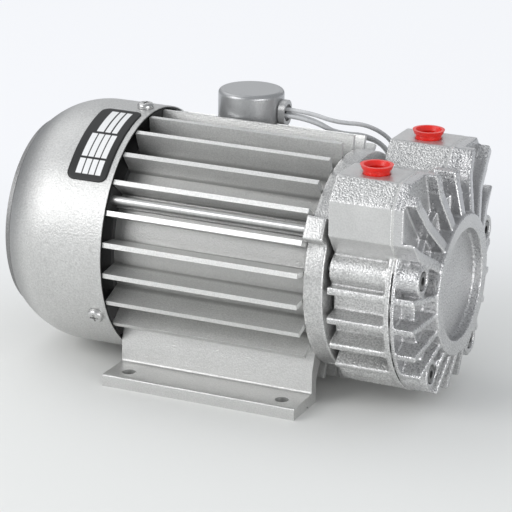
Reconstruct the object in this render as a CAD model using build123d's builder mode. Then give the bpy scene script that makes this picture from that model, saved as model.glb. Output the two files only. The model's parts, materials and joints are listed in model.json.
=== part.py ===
from build123d import *
import os
from math import cos, radians, sin, sqrt

os.makedirs("parts", exist_ok=True)

# Frame: origin at the centre of the foot holes on the base plane, +X along the shaft towards the pump.
# Sizes are in millimetres. Stations are X positions, and radii are taken from the shaft axis.
axis_height = 67.0

# Motor extrusion and its feet
housing_length = 106.0
fin_tip_radius = 62.0
fin_root_radius = 48.5
housing_bore = 45.0
fin_count = 24
fin_thickness = 2.6
rod_rib_height = 2.5
rod_rib_width = 5.0
foot_outer_y = 61.6
foot_web_y = 39.4
foot_web_thickness = 5.5
foot_web_top = 18.0
foot_flange_thickness = 6.2
foot_groove_width = 3.0
foot_groove_depth = 1.4
foot_groove_y = 45.0
foot_hole_radius = 3.5
foot_hole_pitch_x = 85.0
foot_hole_pitch_y = 105.0

# Brackets
bracket_ring_radius = 55.0
front_ring_width = 10.5
front_step_width = 0.5
front_step_radius = 44.0
rear_ring_width = 9.0
spigot_length = 3.0
spigot_wall = 6.0
hub_radius = 22.5
rear_ring_inner = 36.0
arm_width = 14.0
lug_width = 12.0
lug_edge = 6.2
lug_root = 5.0
rear_lug_edge = 4.2
rod_rib_gap = 3.4
rod_radius = 2.4
rod_head_radius = 3.9
rod_head_height = 3.2
rod_thread_depth = 8.0
rod_count = 3

# Fan cowl
cowl_gap = 1.4
cowl_wall = 1.2
cowl_rim_gap = 0.2
cowl_straight = 29.7
cowl_shoulder_radius = 42.5
cowl_shoulder_turn = 41.5
cowl_step_drop = 2.63
cowl_ring_height = 3.6
cowl_slot_count = 24
cowl_slot_width = 3.4
cowl_slot_inner = 15.0
cowl_slot_margin = 6.3
cowl_screw_inset = 6.6
pan_head_radius = 4.3
pan_head_height = 2.7
pan_shank_radius = 2.0
pan_shank_length = 7.0
pan_cross_length = 4.6
pan_cross_width = 1.0
pan_cross_depth = 1.2

# Shaft, bearings and motor internals
bearing_bore = 7.5
bearing_outer = 17.5
bearing_width = 11.0
ball_radius = 3.0
ball_circle = 12.5
ball_count = 7
inner_land = 10.2
outer_land = 14.8
cage_thickness = 1.6
race_clearance = 0.06
fit_clearance = 0.03
rear_web_thickness = 4.0
front_web_thickness = 6.5
shaft_middle_radius = 9.0
fan_seat_radius = 6.0
fan_seat_length = 30.0
shaft_hole_clearance = 1.0
stator_length = 55.0
stator_bore = 25.0
air_gap = 0.4
winding_inner = 28.5
winding_outer = 42.0
winding_length = 13.0
end_ring_inner = 16.0
end_ring_radius = 23.5
end_ring_length = 6.0
fan_ring_gap = 0.3
fan_hub_radius = 11.0
fan_hub_length = 20.0
fan_disc_thickness = 2.2
fan_blade_count = 8
fan_blade_thickness = 2.0
fan_blade_width = 22.0
fan_blade_root = 16.0
fan_clip_thickness = 1.0
fan_clip_height = 2.0

# Pump cylinder, rotor and vanes
side_plate_thickness = 2.0
cylinder_length = 32.5
gasket_thickness = 0.6
pump_bore_radius = 33.0
pump_rotor_radius = 28.0
rotor_seal_gap = 0.06
end_float = 0.05
vane_count = 4
vane_thickness = 4.0
vane_height = 15.5
vane_side_gap = 0.05
vane_tip_inset = 0.1
slot_bottom_gap = 0.5
pump_seat_radius = 7.0
key_width = 5.0
key_height = 5.0
key_length = 22.0
key_depth = 3.0

# Casting outline, as half widths (y) and heights above the shaft (z)
casting_core_radius = 46.0
casting_fin_radius = 56.0
casting_fin_pitch = 16.0
casting_fin_thickness = 3.8
casting_flange_width = 3.0
valley_half_width = 11.0
valley_height = 43.0
tower_inner_y = 23.5
tower_outer_y = 47.0
tower_height = 57.6
tower_side_y = 56.0
tower_shoulder_z = 47.0
tower_side_bottom_z = 29.0
tower_chamfer_y = 46.5
tower_chamfer_z = 17.0
tower_root_y = 42.0
tower_root_z = 10.0
port_y = 35.4
port_radius = 6.6
port_depth = 16.0
chamber_radius = 8.5
chamber_height = 37.0
chamber_depth = 25.0
passage_radius = 3.2
filter_clearance = 0.1
filter_bore = 3.5

# Cover screws
screw_circle_radius = 48.0
side_screw_angle = 18.0
low_screw_angle = 54.0
screw_boss_radius = 7.6
screw_radius = 2.5
screw_head_radius = 4.2
screw_head_height = 5.0
screw_hole_clearance = 0.3
counterbore_radius = 4.9
counterbore_depth = 5.4
hex_socket_radius = 2.3
hex_socket_depth = 2.6
screw_thread_depth = 7.5

# End cover
cover_thickness = 17.3
cover_core_thickness = 9.0
cover_tower_thickness = 5.4
cover_flange_width = 2.0
cover_boss_radius = 35.6
cover_dish_radius = 28.3
cover_dish_depth = 5.0
cover_fin_drop = 1.0
cover_rim_drop = 5.2
cover_tip_drop = 7.0
cover_fin_thickness = 3.4
cover_rib_thickness = 5.6
cover_rib_angles = [90, 112, 133, 150]
cover_top_rib_height = 53.0
cover_screw_boss_height = 13.0

# Port caps
cap_body_radius = 6.52
cap_body_depth = 8.0
cap_wall = 1.3
cap_lift = 2.0
cap_flange_radius = 8.2
cap_flange_height = 2.2
cap_flange_slope = 0.9

# Terminal pot, its saddle, grommet and leads
pot_x = -13.0
pot_y = 28.3
pot_radius = 17.1
pot_rise = 11.0
pot_wall = 1.2
pot_edge = 2.2
saddle_height = 49.0
saddle_spigot = 5.0
saddle_clearance = 0.5
window_clearance = 1.1
window_floor_radius = 48.8
wire_duct_radius = 5.0
grommet_height = 13.4
grommet_width = 10.0
grommet_length = 3.6
grommet_drop = 10.4
grommet_bore = 4.4
grommet_recess = 1.4
lead_radius = 1.15

# Radii that follow from the sizes above
rod_circle_radius = fin_root_radius + rod_rib_height + rod_rib_gap + rod_radius
lug_outer_radius = rod_circle_radius + lug_edge
rear_lug_radius = rod_circle_radius + rear_lug_edge
cowl_radius = rear_lug_radius + cowl_gap + cowl_wall
cowl_step_radius = cowl_radius - cowl_shoulder_radius * (1 - cos(radians(cowl_shoulder_turn)))
cowl_ring_radius = cowl_step_radius - cowl_step_drop
cowl_slot_outer = cowl_ring_radius - cowl_slot_margin
fan_radius = cowl_ring_radius - fan_ring_gap
pot_top = fin_tip_radius + pot_rise

# Stations along the shaft
housing_left = -housing_length / 2
housing_right = housing_length / 2
step_face = housing_right + front_ring_width + front_step_width
cylinder_face = step_face + side_plate_thickness
seam = cylinder_face + cylinder_length
cover_base = seam + gasket_thickness
cover_face = cover_base + cover_thickness
cylinder_middle = cylinder_face + cylinder_length / 2
cavity_length = cylinder_length + gasket_thickness
rear_face = housing_left - rear_ring_width
rear_bearing = rear_face + rear_web_thickness
front_bearing_end = step_face - front_web_thickness
front_bearing = front_bearing_end - bearing_width
cowl_rim = housing_left - cowl_rim_gap
cowl_shoulder = cowl_rim - cowl_straight
fan_base = rear_face - 7.0
shaft_axis = Axis((0, 0, axis_height), (1, 0, 0))


def across(x):
    """Plane square to the shaft at station x, with local x along +Y and local y along +Z."""
    return Plane(origin=(x, 0, axis_height), x_dir=(0, 1, 0), z_dir=(1, 0, 0))


def radial(x, angle, radius):
    """Plane facing outwards from the shaft at a station, an angle from +Y towards +Z and a radius."""
    outward = (0, cos(radians(angle)), sin(radians(angle)))
    foot = (x, radius * outward[1], axis_height + radius * outward[2])
    return Plane(origin=foot, x_dir=(1, 0, 0), z_dir=outward)


side_view = Plane(origin=(0, 0, axis_height), x_dir=(1, 0, 0), z_dir=(0, -1, 0))
rod_angles = [30 + 120 * index for index in range(rod_count)]
cowl_screw_angles = [90, 210, 330]
screw_angles = [
    side_screw_angle,
    180 - side_screw_angle,
    -low_screw_angle,
    180 + low_screw_angle,
]
rod_points = [
    (rod_circle_radius * cos(radians(angle)), rod_circle_radius * sin(radians(angle)))
    for angle in rod_angles
]
eccentricity = pump_bore_radius - pump_rotor_radius - rotor_seal_gap
bore_centre_z = -eccentricity
screw_points = [
    (screw_circle_radius * cos(radians(angle)), bore_centre_z + screw_circle_radius * sin(radians(angle)))
    for angle in screw_angles
]


def save(piece, name):
    """Label a finished piece and write it to its own file."""
    piece.label = name
    export_step(piece, f"parts/{name}.step")


# Motor housing: one extrusion with radial fins, rod ribs and a Z-shaped foot on each side
fin_length = fin_tip_radius - fin_root_radius
fin_middle = (fin_tip_radius + fin_root_radius) / 2
foot_fin_angle = 52.5
with BuildPart() as pot_window:
    with BuildSketch(Plane.XY.offset(axis_height)):
        with Locations((pot_x, pot_y)):
            Circle(pot_radius + window_clearance)
    extrude(amount=fin_tip_radius + window_clearance)
    with BuildSketch(across(housing_left)):
        Circle(window_floor_radius)
    extrude(amount=housing_length, mode=Mode.SUBTRACT)

with BuildPart() as motor_housing:
    with BuildSketch(across(housing_left)) as housing_profile:
        Circle(fin_root_radius)
        with PolarLocations(fin_middle - 1, fin_count, 180 / fin_count):
            Rectangle(fin_length + 2, fin_thickness)
        for angle in rod_angles:
            with Locations(Location((0, 0, 0), (0, 0, angle))):
                with Locations((fin_root_radius, 0)):
                    Rectangle(2 * rod_rib_height, rod_rib_width)
        for side in (-1, 1):
            web_outer = side * foot_web_y
            web_inner = side * (foot_web_y - foot_web_thickness)
            ledge_y = side * (fin_root_radius - 2) * cos(radians(foot_fin_angle - 9))
            ledge_z = -(fin_root_radius - 2) * sin(radians(foot_fin_angle - 9))
            under_y = side * (fin_root_radius - 2) * cos(radians(foot_fin_angle + 5))
            under_z = -(fin_root_radius - 2) * sin(radians(foot_fin_angle + 5))
            with BuildLine():
                Polyline(
                    (side * foot_outer_y, -axis_height),
                    (side * foot_outer_y, foot_flange_thickness - axis_height),
                    (web_outer, foot_flange_thickness - axis_height),
                    (web_outer, foot_web_top - axis_height),
                    (ledge_y, ledge_z),
                    (under_y, under_z),
                    (web_inner, foot_web_top - axis_height - foot_web_thickness),
                    (web_inner, -axis_height),
                    close=True,
                )
            make_face()
            with Locations((side * foot_groove_y, -axis_height)):
                Rectangle(foot_groove_width, 2 * foot_groove_depth, mode=Mode.SUBTRACT)
        Circle(housing_bore, mode=Mode.SUBTRACT)
    extrude(amount=housing_length)
    with BuildSketch():
        with GridLocations(foot_hole_pitch_x, foot_hole_pitch_y, 2, 2):
            Circle(foot_hole_radius)
    extrude(amount=2 * foot_flange_thickness, mode=Mode.SUBTRACT)
    add(pot_window.part, mode=Mode.SUBTRACT)
    with BuildSketch(Plane.XY.offset(axis_height)):
        with Locations((pot_x, pot_y)):
            Circle(wire_duct_radius)
    extrude(amount=fin_tip_radius, mode=Mode.SUBTRACT)
save(motor_housing.part, "motor_housing")


# Front bracket: a cast ring with three rod lugs, a bearing hub and a step that carries the pump
with BuildPart() as front_bracket:
    with BuildSketch(across(housing_right)):
        Circle(bracket_ring_radius)
        for angle in rod_angles:
            with Locations(Location((0, 0, 0), (0, 0, angle))):
                with Locations((lug_outer_radius / 2, 0)):
                    Rectangle(lug_outer_radius, lug_width)
    extrude(amount=front_ring_width)
    with BuildSketch(across(housing_right + front_ring_width)):
        Circle(front_step_radius)
    extrude(amount=front_step_width)
    with BuildSketch(across(housing_right - spigot_length)):
        Circle(housing_bore - fit_clearance)
        Circle(housing_bore - spigot_wall, mode=Mode.SUBTRACT)
    extrude(amount=spigot_length)
    with BuildSketch(across(front_bearing)):
        Circle(hub_radius)
    extrude(amount=housing_right - front_bearing)
    with BuildSketch(across(front_bearing)):
        Circle(bearing_outer + fit_clearance)
    extrude(amount=bearing_width, mode=Mode.SUBTRACT)
    with BuildSketch(across(front_bearing)):
        Circle(bearing_bore + shaft_hole_clearance)
    extrude(amount=step_face - front_bearing, mode=Mode.SUBTRACT)
    with BuildSketch(across(housing_right)):
        with Locations(*rod_points):
            Circle(rod_radius + fit_clearance)
    extrude(amount=rod_thread_depth, mode=Mode.SUBTRACT)
    with BuildSketch(across(housing_right + front_ring_width - screw_thread_depth)):
        with Locations(*screw_points):
            Circle(screw_radius + fit_clearance)
    extrude(amount=screw_thread_depth, mode=Mode.SUBTRACT)
save(front_bracket.part, "front_bracket")


# Rear bracket: an open ring on three arms inside the cowl, with pads for the cowl screws
cowl_pad_radius = cowl_radius - cowl_wall - 0.1
with BuildPart() as rear_bracket:
    with BuildSketch(across(rear_face)):
        Circle(bracket_ring_radius - 3)
        Circle(rear_ring_inner, mode=Mode.SUBTRACT)
        Circle(hub_radius)
        with PolarLocations(rear_ring_inner / 2, 6, 30):
            Rectangle(rear_ring_inner + 6, arm_width)
        for angle in rod_angles:
            with Locations(Location((0, 0, 0), (0, 0, angle))):
                with Locations((bracket_ring_radius - lug_root, 0)):
                    Rectangle(2 * (rear_lug_radius - bracket_ring_radius + lug_root), lug_width)
        with BuildSketch(mode=Mode.PRIVATE) as pads:
            for angle in cowl_screw_angles:
                with Locations(Location((0, 0, 0), (0, 0, angle))):
                    with Locations((bracket_ring_radius, 0)):
                        Rectangle(2 * (cowl_pad_radius - bracket_ring_radius + lug_root), lug_width)
            Circle(cowl_pad_radius, mode=Mode.INTERSECT)
        add(pads.sketch)
    extrude(amount=rear_ring_width)
    with BuildSketch(across(housing_left)):
        Circle(housing_bore - fit_clearance)
        Circle(housing_bore - spigot_wall, mode=Mode.SUBTRACT)
    extrude(amount=spigot_length)
    with BuildSketch(across(rear_bearing)):
        Circle(hub_radius)
    extrude(amount=bearing_width)
    with BuildSketch(across(rear_bearing)):
        Circle(bearing_outer + fit_clearance)
    extrude(amount=bearing_width, mode=Mode.SUBTRACT)
    with BuildSketch(across(rear_face)):
        Circle(bearing_bore + shaft_hole_clearance)
    extrude(amount=rear_ring_width, mode=Mode.SUBTRACT)
    with BuildSketch(across(rear_face)):
        with Locations(*rod_points):
            Circle(rod_radius + fit_clearance)
    extrude(amount=rear_ring_width, mode=Mode.SUBTRACT)
    for angle in cowl_screw_angles:
        with BuildSketch(radial(cowl_rim - cowl_screw_inset, angle, cowl_pad_radius)):
            Circle(pan_shank_radius + fit_clearance)
        extrude(amount=-pan_shank_length, mode=Mode.SUBTRACT)
save(rear_bracket.part, "rear_bracket")


# Tie rods: head behind the rear bracket, thread in the front lug
rod_length = housing_right + rod_thread_depth - rear_face
with BuildPart() as tie_rods:
    with BuildSketch(across(rear_face)):
        with Locations(*rod_points):
            Circle(rod_radius)
    extrude(amount=rod_length)
    with BuildSketch(across(rear_face - rod_head_height)):
        with Locations(*rod_points):
            RegularPolygon(rod_head_radius, 6)
    extrude(amount=rod_head_height)
save(tie_rods.part, "tie_rods")


def cowl_outline(inset):
    """Half section of the cowl, moved inwards by the inset."""
    radius = cowl_shoulder_radius - inset
    centre = (cowl_shoulder, cowl_radius - cowl_shoulder_radius)
    step_x = centre[0] - radius * sin(radians(cowl_shoulder_turn))
    rear_x = cowl_rear + inset
    with BuildLine() as outline:
        Line((cowl_rim, 0), (cowl_rim, cowl_radius - inset))
        Line((cowl_rim, cowl_radius - inset), (cowl_shoulder, cowl_radius - inset))
        shoulder = CenterArc(centre, radius, 90, cowl_shoulder_turn)
        Line(shoulder @ 1, (step_x, cowl_ring_radius - inset))
        Line((step_x, cowl_ring_radius - inset), (rear_x, cowl_ring_radius - inset))
        Line((rear_x, cowl_ring_radius - inset), (rear_x, 0))
        Line((rear_x, 0), (cowl_rim, 0))
    return outline


cowl_step = cowl_shoulder - cowl_shoulder_radius * sin(radians(cowl_shoulder_turn))
cowl_rear = cowl_step - cowl_ring_height
cowl_outer = cowl_outline(0)
cowl_inner = cowl_outline(cowl_wall)

# Fan cowl: a pressed drum with a domed shoulder, a stepped ring and radial air slots
with BuildPart() as fan_cowl:
    with BuildSketch(side_view):
        add(cowl_outer.line)
        make_face()
    revolve(axis=shaft_axis)
    with BuildSketch(side_view):
        add(cowl_inner.line)
        make_face()
    revolve(axis=shaft_axis, mode=Mode.SUBTRACT)
    with BuildSketch(across(cowl_rear - 1)):
        with PolarLocations((cowl_slot_inner + cowl_slot_outer) / 2, cowl_slot_count // 2):
            SlotOverall(cowl_slot_outer - cowl_slot_inner, cowl_slot_width)
        with PolarLocations((2 * cowl_slot_inner + cowl_slot_outer) / 2, cowl_slot_count // 2, 15):
            SlotOverall(cowl_slot_outer - 2 * cowl_slot_inner, cowl_slot_width)
    extrude(amount=cowl_wall + 2, mode=Mode.SUBTRACT)
    for angle in cowl_screw_angles:
        with BuildSketch(radial(cowl_rim - cowl_screw_inset, angle, cowl_pad_radius)):
            Circle(pan_shank_radius + fit_clearance)
        extrude(amount=2 * cowl_wall, mode=Mode.SUBTRACT)
save(fan_cowl.part, "fan_cowl")


# Pan-head screw standing on the XY plane, with its shank below
with BuildPart() as pan_screw:
    with BuildSketch():
        Circle(pan_head_radius)
    extrude(amount=pan_head_height)
    fillet(pan_screw.edges().group_by(Axis.Z)[-1], pan_head_height * 0.6)
    with BuildSketch(Plane.XY.offset(pan_head_height)):
        Rectangle(pan_cross_length, pan_cross_width)
        Rectangle(pan_cross_width, pan_cross_length)
    extrude(amount=-pan_cross_depth, mode=Mode.SUBTRACT)
    with BuildSketch():
        Circle(pan_shank_radius)
    extrude(amount=-pan_shank_length)

with BuildPart() as cowl_screws:
    for angle in cowl_screw_angles:
        seat = radial(cowl_rim - cowl_screw_inset, angle, cowl_radius)
        with Locations(seat.location):
            add(pan_screw.part)
save(cowl_screws.part, "cowl_screws")


# Stator core with winding slots, and the two end windings
stator_left = -stator_length / 2
stator_slot_count = 12
with BuildPart() as stator_core:
    with BuildSketch(across(stator_left)):
        Circle(housing_bore - fit_clearance)
        Circle(stator_bore, mode=Mode.SUBTRACT)
        with PolarLocations((stator_bore + winding_outer) / 2 - 2, stator_slot_count):
            Rectangle(winding_outer - stator_bore - 6, 4, mode=Mode.SUBTRACT)
    extrude(amount=stator_length)
save(stator_core.part, "stator_core")

with BuildPart() as stator_windings:
    with BuildSketch(across(stator_left - winding_length)):
        Circle(winding_outer)
        Circle(winding_inner, mode=Mode.SUBTRACT)
    extrude(amount=winding_length)
    with BuildSketch(across(-stator_left)):
        Circle(winding_outer)
        Circle(winding_inner, mode=Mode.SUBTRACT)
    extrude(amount=winding_length)
    fillet(stator_windings.edges().filter_by(GeomType.CIRCLE).group_by(Axis.X)[0], 3)
    fillet(stator_windings.edges().filter_by(GeomType.CIRCLE).group_by(Axis.X)[-1], 3)
save(stator_windings.part, "stator_windings")


# Shaft: fan seat, bearing seats, thick middle and keyed pump seat
rear_seat_end = rear_bearing + bearing_width
shaft_left = fan_base - fan_seat_length
shaft_right = cover_base - 1.0
key_middle = cylinder_face + cylinder_length / 2
with BuildPart() as motor_shaft:
    with BuildSketch(across(shaft_left)):
        Circle(fan_seat_radius)
    extrude(amount=fan_seat_length)
    with BuildSketch(across(fan_base)):
        Circle(bearing_bore)
    extrude(amount=rear_seat_end - fan_base)
    with BuildSketch(across(rear_seat_end)):
        Circle(shaft_middle_radius)
    extrude(amount=front_bearing - rear_seat_end)
    with BuildSketch(across(front_bearing)):
        Circle(bearing_bore)
    extrude(amount=front_bearing_end - front_bearing)
    with BuildSketch(across(front_bearing_end)):
        Circle(pump_seat_radius)
    extrude(amount=shaft_right - front_bearing_end)
    with BuildSketch(across(key_middle - key_length / 2)):
        with Locations((0, pump_seat_radius)):
            Rectangle(key_width, 2 * key_depth)
    extrude(amount=key_length, mode=Mode.SUBTRACT)
    chamfer(motor_shaft.edges().group_by(Axis.X)[0], 0.8)
    chamfer(motor_shaft.edges().group_by(Axis.X)[-1], 0.8)
save(motor_shaft.part, "motor_shaft")

with BuildPart() as rotor_key:
    with BuildSketch(across(key_middle - key_length / 2)):
        with Locations((0, pump_seat_radius - key_depth)):
            Rectangle(key_width, key_height, align=(Align.CENTER, Align.MIN))
    extrude(amount=key_length)
save(rotor_key.part, "rotor_key")

with BuildPart() as rotor_core:
    with BuildSketch(across(stator_left)):
        Circle(stator_bore - air_gap)
        Circle(shaft_middle_radius + fit_clearance, mode=Mode.SUBTRACT)
    extrude(amount=stator_length)
save(rotor_core.part, "rotor_core")

with BuildPart() as rotor_end_rings:
    for station in (stator_left - end_ring_length, -stator_left):
        with BuildSketch(across(station)):
            Circle(end_ring_radius)
            Circle(end_ring_inner, mode=Mode.SUBTRACT)
        extrude(amount=end_ring_length)
save(rotor_end_rings.part, "rotor_end_rings")


# Ball bearings: an outer ring, an inner ring and a set of balls held by a cage ring
def make_bearing(start, name):
    """Write the three pieces of a deep-groove bearing that starts at a station."""
    middle = start + bearing_width / 2
    ball_plane = Plane(origin=(middle, 0, axis_height), x_dir=(1, 0, 0), z_dir=(0, -1, 0))
    with BuildPart() as outer_ring:
        with BuildSketch(across(start)):
            Circle(bearing_outer)
            Circle(outer_land, mode=Mode.SUBTRACT)
        extrude(amount=bearing_width)
        with BuildSketch(ball_plane):
            with Locations((0, ball_circle)):
                Circle(ball_radius + race_clearance)
        revolve(axis=shaft_axis, mode=Mode.SUBTRACT)
    save(outer_ring.part, name + "_bearing_outer")
    with BuildPart() as inner_ring:
        with BuildSketch(across(start)):
            Circle(inner_land)
            Circle(bearing_bore + fit_clearance, mode=Mode.SUBTRACT)
        extrude(amount=bearing_width)
        with BuildSketch(ball_plane):
            with Locations((0, ball_circle)):
                Circle(ball_radius + race_clearance)
        revolve(axis=shaft_axis, mode=Mode.SUBTRACT)
    save(inner_ring.part, name + "_bearing_inner")
    with BuildPart() as ball_set:
        with BuildSketch(across(middle - cage_thickness / 2)):
            Circle(ball_circle + 1.0)
            Circle(ball_circle - 1.0, mode=Mode.SUBTRACT)
        extrude(amount=cage_thickness)
        with Locations(across(middle).location):
            with PolarLocations(ball_circle, ball_count):
                Sphere(ball_radius)
    save(ball_set.part, name + "_bearing_balls")


make_bearing(rear_bearing, "rear")
make_bearing(front_bearing, "front")


# Cooling fan: hub, back disc and straight radial blades that stand towards the cowl's slots
fan_left = fan_base - fan_hub_length
with BuildPart() as cooling_fan:
    with BuildSketch(across(fan_left)):
        Circle(fan_hub_radius)
    extrude(amount=fan_hub_length)
    with BuildSketch(across(fan_base - fan_disc_thickness)):
        Circle(fan_radius)
    extrude(amount=fan_disc_thickness)
    with BuildSketch(across(fan_base - fan_disc_thickness - fan_blade_width)):
        with PolarLocations((fan_blade_root + fan_radius) / 2, fan_blade_count):
            Rectangle(fan_radius - fan_blade_root, fan_blade_thickness)
    extrude(amount=fan_blade_width)
    with BuildSketch(across(fan_left)):
        with PolarLocations((fan_blade_root + fan_hub_radius) / 2 - 1, fan_blade_count):
            Rectangle(fan_blade_root - fan_hub_radius + 3, fan_blade_thickness)
    extrude(amount=fan_hub_length)
    with BuildSketch(across(fan_left - fan_hub_length)):
        Circle(fan_seat_radius + fit_clearance)
    extrude(amount=3 * fan_hub_length, mode=Mode.SUBTRACT)
save(cooling_fan.part, "cooling_fan")

with BuildPart() as fan_clip:
    with BuildSketch(across(fan_left - fan_clip_thickness)):
        Circle(fan_seat_radius + fan_clip_height)
        Circle(fan_seat_radius + fit_clearance, mode=Mode.SUBTRACT)
        with Locations((fan_seat_radius + 1, 0)):
            Rectangle(2 * fan_clip_height + 2, 3, mode=Mode.SUBTRACT)
    extrude(amount=fan_clip_thickness)
save(fan_clip.part, "fan_clip")


# Side plate: hard wear plate between the bracket and the cylinder
with BuildPart() as side_plate:
    with BuildSketch(across(step_face)):
        Circle(front_step_radius)
        Circle(bearing_bore + shaft_hole_clearance, mode=Mode.SUBTRACT)
    extrude(amount=side_plate_thickness)
save(side_plate.part, "side_plate")


def tower_block():
    """Draw the upper block with its two port towers in the current sketch."""
    half = [
        (0, valley_height),
        (valley_half_width, valley_height),
        (tower_inner_y, tower_height),
        (tower_outer_y, tower_height),
        (tower_side_y, tower_shoulder_z),
        (tower_side_y, tower_side_bottom_z),
        (tower_chamfer_y, tower_chamfer_z),
        (tower_root_y, tower_root_z),
        (0, tower_root_z),
    ]
    Polygon(*half, align=None)
    mirrored = [(-y, z) for y, z in reversed(half)]
    Polygon(*mirrored, align=None)


def casting_fins(reach, thickness):
    """Draw the radial fins below the towers in the current sketch."""
    for index in range(13):
        angle = -90 + (index - 6) * casting_fin_pitch
        with Locations(Location((0, bore_centre_z, 0), (0, 0, angle))):
            with Locations((reach / 2, 0)):
                Rectangle(reach, thickness)


with BuildSketch() as casting_outline:
    with Locations((0, bore_centre_z)):
        Circle(casting_fin_radius)
    tower_block()
casting_outline_face = casting_outline.sketch

# Pump cylinder: finned casting with two port towers, an eccentric bore and two filter chambers
with BuildPart() as pump_cylinder:
    with BuildSketch(across(cylinder_face)):
        with Locations((0, bore_centre_z)):
            Circle(casting_core_radius)
        tower_block()
        casting_fins(casting_fin_radius, casting_fin_thickness)
        with Locations(*screw_points):
            Circle(screw_boss_radius)
    extrude(amount=cylinder_length)
    with BuildSketch(across(seam - casting_flange_width)):
        add(casting_outline_face)
    extrude(amount=casting_flange_width)
    with BuildSketch(across(cylinder_face)):
        with Locations((0, bore_centre_z)):
            Circle(pump_bore_radius)
        with Locations(*screw_points):
            Circle(screw_radius + screw_hole_clearance)
    extrude(amount=cylinder_length, mode=Mode.SUBTRACT)
    with BuildSketch(across(seam - chamber_depth)):
        with Locations((-port_y, chamber_height), (port_y, chamber_height)):
            Circle(chamber_radius)
    extrude(amount=chamber_depth, mode=Mode.SUBTRACT)
    with BuildSketch(Plane.XY.offset(axis_height + tower_height - port_depth)):
        with Locations((cylinder_middle, -port_y), (cylinder_middle, port_y)):
            Circle(port_radius)
    extrude(amount=port_depth, mode=Mode.SUBTRACT)
    for side in (-1, 1):
        chamber_centre = Vector(cylinder_middle, side * port_y, axis_height + chamber_height)
        bore_centre = Vector(cylinder_middle, 0, axis_height + bore_centre_z)
        towards = bore_centre - chamber_centre
        with BuildSketch(Plane(origin=chamber_centre, x_dir=(1, 0, 0), z_dir=towards)):
            Circle(passage_radius)
        extrude(amount=towards.length - pump_bore_radius + 2, mode=Mode.SUBTRACT)
save(pump_cylinder.part, "pump_cylinder")


# Filters: felt sleeves in the two chambers
filter_names = {-1: "inlet_filter", 1: "outlet_filter"}
for side, name in filter_names.items():
    with BuildPart() as felt_filter:
        with BuildSketch(across(seam - chamber_depth)):
            with Locations((side * port_y, chamber_height)):
                Circle(chamber_radius - filter_clearance)
                Circle(filter_bore, mode=Mode.SUBTRACT)
        extrude(amount=chamber_depth)
    save(felt_filter.part, name)


# Gasket between the cylinder and the cover
with BuildPart() as cover_gasket:
    with BuildSketch(across(seam)):
        add(casting_outline_face)
        offset(amount=-0.4, kind=Kind.INTERSECTION)
        with Locations((0, bore_centre_z)):
            Circle(pump_bore_radius, mode=Mode.SUBTRACT)
        with Locations(*screw_points):
            Circle(screw_radius + screw_hole_clearance, mode=Mode.SUBTRACT)
        with Locations((-port_y, chamber_height), (port_y, chamber_height)):
            Circle(chamber_radius, mode=Mode.SUBTRACT)
    extrude(amount=gasket_thickness)
save(cover_gasket.part, "cover_gasket")


# Pump rotor with its vane slots, set to clear the bore at the top
slot_depth = vane_height + vane_tip_inset + slot_bottom_gap
slot_width = vane_thickness + 2 * vane_side_gap
vane_angles = [45 + 360 / vane_count * index for index in range(vane_count)]
with BuildPart() as pump_rotor:
    with BuildSketch(across(cylinder_face + end_float)):
        Circle(pump_rotor_radius)
        with PolarLocations(pump_rotor_radius - slot_depth / 2 + 1, vane_count, vane_angles[0]):
            Rectangle(slot_depth + 2, slot_width, mode=Mode.SUBTRACT)
        Circle(pump_seat_radius + fit_clearance, mode=Mode.SUBTRACT)
        with Locations((0, pump_seat_radius - key_depth)):
            Rectangle(key_width, key_height, align=(Align.CENTER, Align.MIN), mode=Mode.SUBTRACT)
    extrude(amount=cavity_length - 2 * end_float)
save(pump_rotor.part, "pump_rotor")

for number, angle in enumerate(vane_angles, start=1):
    with BuildPart() as vane:
        with BuildSketch(across(cylinder_face + end_float)):
            with Locations(Location((0, 0, 0), (0, 0, angle))):
                with Locations((pump_rotor_radius - vane_tip_inset - vane_height / 2, 0)):
                    Rectangle(vane_height, vane_thickness)
        extrude(amount=cavity_length - 2 * end_float)
    save(vane.part, f"vane_{number}")


# End cover: radial fins that run down from the rim to a round boss with a shallow dish
fin_front = cover_face - cover_fin_drop
rim_front = cover_face - cover_rim_drop
tip_front = cover_face - cover_tip_drop
tower_reach = sqrt(tower_side_y**2 + tower_height**2) - bore_centre_z
cover_axis = Axis((0, 0, axis_height + bore_centre_z), (1, 0, 0))
cover_side_view = Plane(origin=(0, 0, axis_height + bore_centre_z), x_dir=(1, 0, 0), z_dir=(0, -1, 0))
rib_angles = cover_rib_angles + [180 - angle for angle in cover_rib_angles[1:]]
with BuildPart() as cover_fins:
    with BuildSketch(across(cover_base)):
        casting_fins(casting_fin_radius, cover_fin_thickness)
        for angle in rib_angles:
            with Locations(Location((0, bore_centre_z, 0), (0, 0, angle))):
                with Locations((tower_reach / 2, 0)):
                    Rectangle(tower_reach, cover_rib_thickness)
    extrude(amount=cover_thickness)
    with BuildSketch(across(cover_base)):
        add(casting_outline_face)
        with Locations((0, cover_top_rib_height / 2)):
            Rectangle(cover_rib_thickness, cover_top_rib_height)
    extrude(amount=cover_thickness, mode=Mode.INTERSECT)
    with BuildSketch(cover_side_view):
        Polygon(
            (cover_base, 0),
            (fin_front, 0),
            (fin_front, cover_boss_radius),
            (rim_front, casting_fin_radius - 2),
            (tip_front, tower_reach),
            (cover_base, tower_reach + 2),
            align=None,
        )
    revolve(axis=cover_axis, mode=Mode.INTERSECT)

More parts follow.
